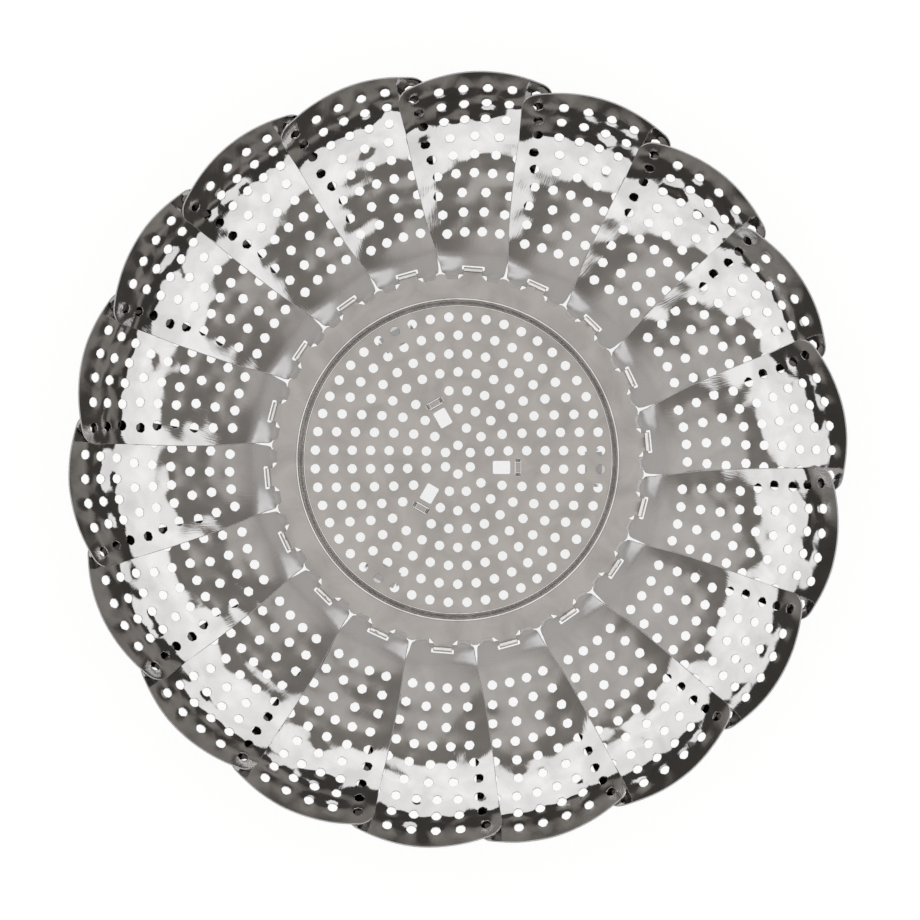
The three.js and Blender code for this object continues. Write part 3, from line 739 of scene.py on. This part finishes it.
# %% The plate's outline
def plate_outline():
    """The disc with its tabs, anticlockwise."""
    tab_end = HINGE_RADIUS + HOOK_TURN * HOOK_MIDDLE_RADIUS
    front = FLANGE_RADIUS + HOOK_ROOT_HALF_WIDTH - HOOK_HALF_WIDTH
    tab = [(FLANGE_RADIUS, HOOK_ROOT_HALF_WIDTH), (front, HOOK_HALF_WIDTH)]
    tab += [(s, HOOK_HALF_WIDTH) for s in np.arange(HINGE_RADIUS, tab_end - 0.7, 0.45)]
    tab += [(tab_end - 0.5, HOOK_HALF_WIDTH), (tab_end - 0.15, HOOK_HALF_WIDTH - 0.15), (tab_end, 2.5)]
    tab += [(tab_end, 1.2)]
    right = [(s, -t) for s, t in tab]
    tab = right + tab[::-1]
    pitch = 2 * math.pi / PETALS
    tooth = [*TOOTH, *[(s, -t) for s, t in TOOTH[::-1]]]  # between two petals' feet
    points = []
    for i in range(PETALS):
        turn = math.pi / 2 + i * pitch
        points += [turned(tab, turn), turned(tooth, turn + pitch / 2)]
    return np.vstack(points)


# %% The plate's windows, slots and holes
def on_leg_lines(points):
    """Copies of a set of points for each leg's line, from the first leg's side view."""
    points = points - (0, LEG_LINE_OFFSET)
    return [turned(points, LEG_TURN - leg * 2 * math.pi / LEGS) for leg in range(LEGS)]


def rectangle(middle, length, width, radius):
    """A clockwise rectangle with rounded corners."""
    low, high, half = middle - length / 2, middle + length / 2, width / 2
    return round_corners([(low, -half), (low, half), (high, half), (high, -half)], radius, 3)


plate_windows = on_leg_lines(rectangle(WINDOW_MIDDLE, PLATE_WINDOW_LENGTH, PLATE_WINDOW_WIDTH, 0.5))
loop_slots = on_leg_lines(rectangle(LOOP_MIDDLE, LOOP_WIDTH + 0.5, LOOP_SPAN - 1.4, 0.3))


def plate_hole_middles():
    """Rings of holes over the floor, left out where a window or a loop is."""
    middles = []
    for radius in np.arange(4.6, FLOOR_RADIUS - 2, 5.9):
        count = round(2 * math.pi * radius / 6.15 / LEGS) * LEGS
        for i in range(count):
            a = LEG_TURN + (i + 0.5) * 2 * math.pi / count
            middles.append((radius * math.cos(a), radius * math.sin(a)))
    middles = np.array(middles)
    reach = np.full(len(middles), np.inf)
    for loop in plate_windows + loop_slots:
        reach = np.minimum(reach, np.linalg.norm(middles[:, None] - loop[None], axis=2).min(axis=1))
    return middles[reach > HOLE_RADIUS + 0.9]


PLATE_HOLES = plate_hole_middles()
print("holes in the plate:", len(PLATE_HOLES))

# %% Make the plate
plate_edge = plate_outline()
plate_metal = clear_of_edge(plate_edge, 0.7)
openings = [clear_of_edge(loop, 0.0) for loop in plate_windows + loop_slots]


def plate_inside(points):
    inside = plate_metal(points)
    for loop in plate_windows + loop_slots:
        inside &= np.linalg.norm(points[:, None] - loop[None], axis=2).min(axis=1) > 0.4
    for test in openings:
        inside &= ~test(points)
    return inside


def tab_points():
    """Lines of points across each tab, close enough for the roll to be round."""
    lines = [(s, t) for s in np.arange(HINGE_RADIUS, HINGE_RADIUS + 5.3, 0.45) for t in (-1.5, 0, 1.5)]
    pitch = 2 * math.pi / PETALS
    return np.vstack([turned(lines, math.pi / 2 + i * pitch) for i in range(PETALS)])


wall_rings = []
for radius in np.arange(FLOOR_RADIUS - 0.4, FLOOR_RADIUS + WALL_RUN + 0.8, 0.4):
    turns = 2 * np.pi * np.arange(216) / 216
    wall_rings.append(np.column_stack([radius * np.cos(turns), radius * np.sin(turns)]))
rings = ring_points(PLATE_HOLES, [(HOLE_RADIUS + 0.7, 12)], plate_inside, HOLE_RADIUS + 0.5)
fill = fill_points((-58, -58), (58, 58), 2.8, PLATE_HOLES, plate_inside, HOLE_RADIUS + 1.4)
reach = np.hypot(fill[:, 0], fill[:, 1])
fill = fill[(reach < FLOOR_RADIUS - 1) | (reach > FLOOR_RADIUS + WALL_RUN + 1.2)]
punched = [circle_loop(x, y, HOLE_RADIUS, HOLE_SIDES) for x, y in PLATE_HOLES]
inner = np.vstack([rings, fill, tab_points(), *wall_rings])
plate_pattern = Pattern(plate_edge, [*plate_windows, *loop_slots, *punched], inner, PLATE_EDGE, PLATE_EDGE)
plate_sheet = press(plate_pattern, partial(plate_place, holes=PLATE_HOLES), PLATE_SHEET, PLATE_EDGE_DROP)
print("plate:", len(plate_sheet[2]), "triangles")

# %% [markdown]
# Three small straps are pressed up out of the floor. Each is a strip of the same sheet, bowed up over the
# slot that it was cut from, with its ends still in the floor.

# %% The pressed-up loops
def strap_height(across):
    """Height of the strap's middle over the floor's middle."""
    return LOOP_RISE * (1 - eased(np.abs(across), LOOP_SPAN / 2 - 1.9, LOOP_SPAN / 2 - 0.1))


def strap_place(flat, height):
    """A strap in its leg line's frame: along the line, across it and up."""
    along, across = flat[:, 0], flat[:, 1]
    slope = np.arctan2(strap_height(across + 0.05) - strap_height(across - 0.05), 0.1)
    return np.column_stack([
        LOOP_MIDDLE + along,
        across - height * np.sin(slope) - LEG_LINE_OFFSET,
        FLOOR_MIDDLE + strap_height(across) + height * np.cos(slope),
    ])


half = LOOP_SPAN / 2
long_side = np.linspace(-half, half, 25)
strap_edge = [(LOOP_WIDTH / 2, t) for t in long_side] + [(-LOOP_WIDTH / 2, t) for t in long_side[::-1]]
strap_pattern = Pattern(np.array(strap_edge), [], [(0, t) for t in long_side[1:-1]], 0.15, 0.15)
strap = press(strap_pattern, strap_place, PLATE_SHEET, 0.14)
straps = [turned_and_placed(strap, LEG_TURN - leg * 2 * math.pi / LEGS, (0, 0, 0)) for leg in range(LEGS)]
plate = make_piece("base_plate_sheet", join_sheets([plate_sheet, *straps]), plate_steel)
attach(plate, "basket")
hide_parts("base_plate")

# %% [markdown]
# ## Legs, brackets and pins
#
# A leg is a strip that tapers to a narrow foot. Its top is rolled into a knuckle round the pin, and its
# end is bent flat to stand on. Legs, brackets and pins are the CAD solids themselves. Their edges are
# broken by a bevel of a tenth or two of a millimetre, as tumbling leaves them on stamped parts, and round
# faces are shaded smooth while flat ones stay flat.

# %% Smooth shading for round parts, sharp for flat ones
smoothing = bpy.data.node_groups.new("smooth_round_parts", "GeometryNodeTree")
for way in ("INPUT", "OUTPUT"):
    smoothing.interface.new_socket("Geometry", in_out=way, socket_type="NodeSocketGeometry")
nodes, links = smoothing.nodes, smoothing.links
faces_smooth = nodes.new("GeometryNodeSetShadeSmooth")
edges_smooth = nodes.new("GeometryNodeSetShadeSmooth")
edges_smooth.domain = "EDGE"
turn = nodes.new("GeometryNodeInputMeshEdgeAngle")
gentle = nodes.new("FunctionNodeCompare")
gentle.operation = "LESS_THAN"
gentle.inputs[1].default_value = math.radians(38)  # the facets of a round part meet at less than this
links.new(nodes.new("NodeGroupInput").outputs[0], faces_smooth.inputs[0])
links.new(faces_smooth.outputs[0], edges_smooth.inputs[0])
links.new(turn.outputs["Unsigned Angle"], gentle.inputs[0])
links.new(gentle.outputs[0], edges_smooth.inputs["Shade Smooth"])
links.new(edges_smooth.outputs[0], nodes.new("NodeGroupOutput").inputs[0])


# %% Finish and broken edges of the legs, brackets and pins
def give_finish(node, steel, edge):
    """Puts a finish on a CAD node and breaks its edges, with the node's own places as pattern places."""
    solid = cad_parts[node]
    mesh = solid.data
    place = mesh.attributes.new("pattern_place", "FLOAT_VECTOR", "POINT")
    places = np.zeros(len(mesh.vertices) * 3, np.float32)
    mesh.vertices.foreach_get("co", places)
    place.data.foreach_set("vector", places)
    mesh.materials.clear()
    mesh.materials.append(steel)
    broken = solid.modifiers.new("broken_edges", "BEVEL")
    broken.width = edge * MM
    broken.segments = 2
    broken.limit_method = "ANGLE"
    broken.angle_limit = math.radians(40)
    solid.modifiers.new("smooth_round_parts", "NODES").node_group = smoothing


for leg in range(1, LEGS + 1):
    for node, edge in ((f"leg_{leg}", 0.15), (f"leg_bracket_{leg}", 0.13), (f"leg_pin_{leg}", 0.2)):
        give_finish(node, leg_steel, edge)

# %% [markdown]
# ## The studio
#
# The photograph looks straight down on a pure white ground, under a light tent. Polished steel shows
# nothing but its surroundings, so the tent matters as much as the finish: a bright band of cloth from
# about nineteen to forty-eight degrees up, a greyer roof, and darkness near the horizon. The world is that
# tent.

# %% The light tent
BANDS = (  # elevation in degrees, and how bright the cloth is there
    (0, 0.06), (1.5, 0.1), (3.5, 0.22), (6, 0.25), (9, 0.17), (11, 0.055), (18, 0.045),
    (18.8, 1.12), (30, 1.12), (38, 1.25), (47.5, 1.15), (48.6, 0.85),
    (49.6, 0.2), (54, 0.21), (58, 0.26), (60, 0.36), (62, 0.47), (66, 0.54), (75, 0.6),
)
WARMTH = 0.09  # how much warmer the shaded cloth is than the lit band
world = bpy.data.worlds.new("light_tent")
bpy.context.scene.world = world
world.use_nodes = True
nodes, links = world.node_tree.nodes, world.node_tree.links
direction = nodes.new("ShaderNodeTexCoord")
height = nodes.new("ShaderNodeVectorMath")
height.operation = "DOT_PRODUCT"
height.inputs[1].default_value = (-0.084, 0.023, 0.996)  # the tent hangs about five degrees askew
links.new(direction.outputs["Generated"], height.inputs[0])
tent = nodes.new("ShaderNodeValToRGB")
links.new(height.outputs["Value"], tent.inputs["Fac"])
ramp = tent.color_ramp
ramp.interpolation = "LINEAR"
while len(ramp.elements) < len(BANDS):
    ramp.elements.new(0.5)
for element, (elevation, level) in zip(ramp.elements, BANDS):
    element.position = math.sin(math.radians(elevation))
    warmth = WARMTH * max(0, 1 - level)
    element.color = (level * (1 + warmth), level, level * (1 - warmth), 1)
backdrop = nodes.new("ShaderNodeMix")  # past the ground's edge, the camera sees plain white
backdrop.data_type = "RGBA"
links.new(nodes.new("ShaderNodeLightPath").outputs["Is Camera Ray"], backdrop.inputs["Factor"])
links.new(tent.outputs["Color"], backdrop.inputs["A"])
backdrop.inputs["B"].default_value = (1, 1, 1, 1)
links.new(backdrop.outputs["Result"], nodes["Background"].inputs["Color"])

# %% The white ground
GROUND_REACH = 8.0  # metres each way
GLOW = 0.77  # the cloth is lit from below too, so that it photographs pure white round the basket
corners = [(x * GROUND_REACH, y * GROUND_REACH, 0) for x, y in ((-1, -1), (1, -1), (1, 1), (-1, 1))]
ground_mesh = bpy.data.meshes.new("ground")
ground_mesh.from_pydata(corners, [], [(0, 1, 2, 3)])
ground = bpy.data.objects.new("ground", ground_mesh)
bpy.context.scene.collection.objects.link(ground)
white = bpy.data.materials.new("white_ground")
white.use_nodes = True
nodes, links = white.node_tree.nodes, white.node_tree.links
cloth = nodes["Principled BSDF"]
cloth.inputs["Base Color"].default_value = (0.4, 0.4, 0.4, 1)
cloth.inputs["Roughness"].default_value = 0.9
cloth.inputs["Specular IOR Level"].default_value = 0.0
glow = nodes.new("ShaderNodeEmission")
glow.inputs["Color"].default_value = (GLOW, GLOW, GLOW, 1)
path = nodes.new("ShaderNodeLightPath")


def joined(operation, first, second):
    """A node that joins an output with another one, or with a number."""
    node = nodes.new("ShaderNodeMath")
    node.operation = operation
    links.new(first, node.inputs[0])
    if isinstance(second, float):
        node.inputs[1].default_value = second
    else:
        links.new(second, node.inputs[1])
    return node.outputs["Value"]


# The glow is for what looks at the cloth. Light that has left the cloth once doesn't light it up again.
seen = joined("MAXIMUM", path.outputs["Is Camera Ray"], path.outputs["Is Glossy Ray"])
seen = joined("MAXIMUM", seen, path.outputs["Is Transmission Ray"])
straight = joined("LESS_THAN", path.outputs["Diffuse Depth"], 0.5)
links.new(joined("MULTIPLY", seen, straight), glow.inputs["Strength"])
both = nodes.new("ShaderNodeAddShader")
links.new(cloth.outputs["BSDF"], both.inputs[0])
links.new(glow.outputs["Emission"], both.inputs[1])
links.new(both.outputs["Shader"], nodes["Material Output"].inputs["Surface"])
ground_mesh.materials.append(white)
ground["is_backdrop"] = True

# %% The camera, straight above
CAMERA_HEIGHT = 1.15  # above the rim
FRAME_WIDTH = 0.2885  # what the frame spans at the rim's height
camera_data = bpy.data.cameras.new("camera")
camera_data.sensor_width = 36
camera_data.lens = camera_data.sensor_width * CAMERA_HEIGHT / FRAME_WIDTH
camera_data.clip_end = 30
camera = bpy.data.objects.new("camera", camera_data)
bpy.context.scene.collection.objects.link(camera)
camera.location = (0.00068, -0.00005, CAMERA_HEIGHT + 0.062)  # a little off the basket's axis
camera.rotation_euler = (0, 0, math.radians(4.6))  # and a little turned
bpy.context.scene.camera = camera
bpy.context.scene.view_settings.view_transform = "Standard"

# %% [markdown]
# ## The size of the dressed model
#
# The box of everything that renders, the ground left out, is printed in metres. The
# dressed model has to stay in the CAD model's box, apart from a small margin.

# %% Print the visual box
low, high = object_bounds()
print("visual box, metres:", [round(v, 4) for v in low], [round(v, 4) for v in high])
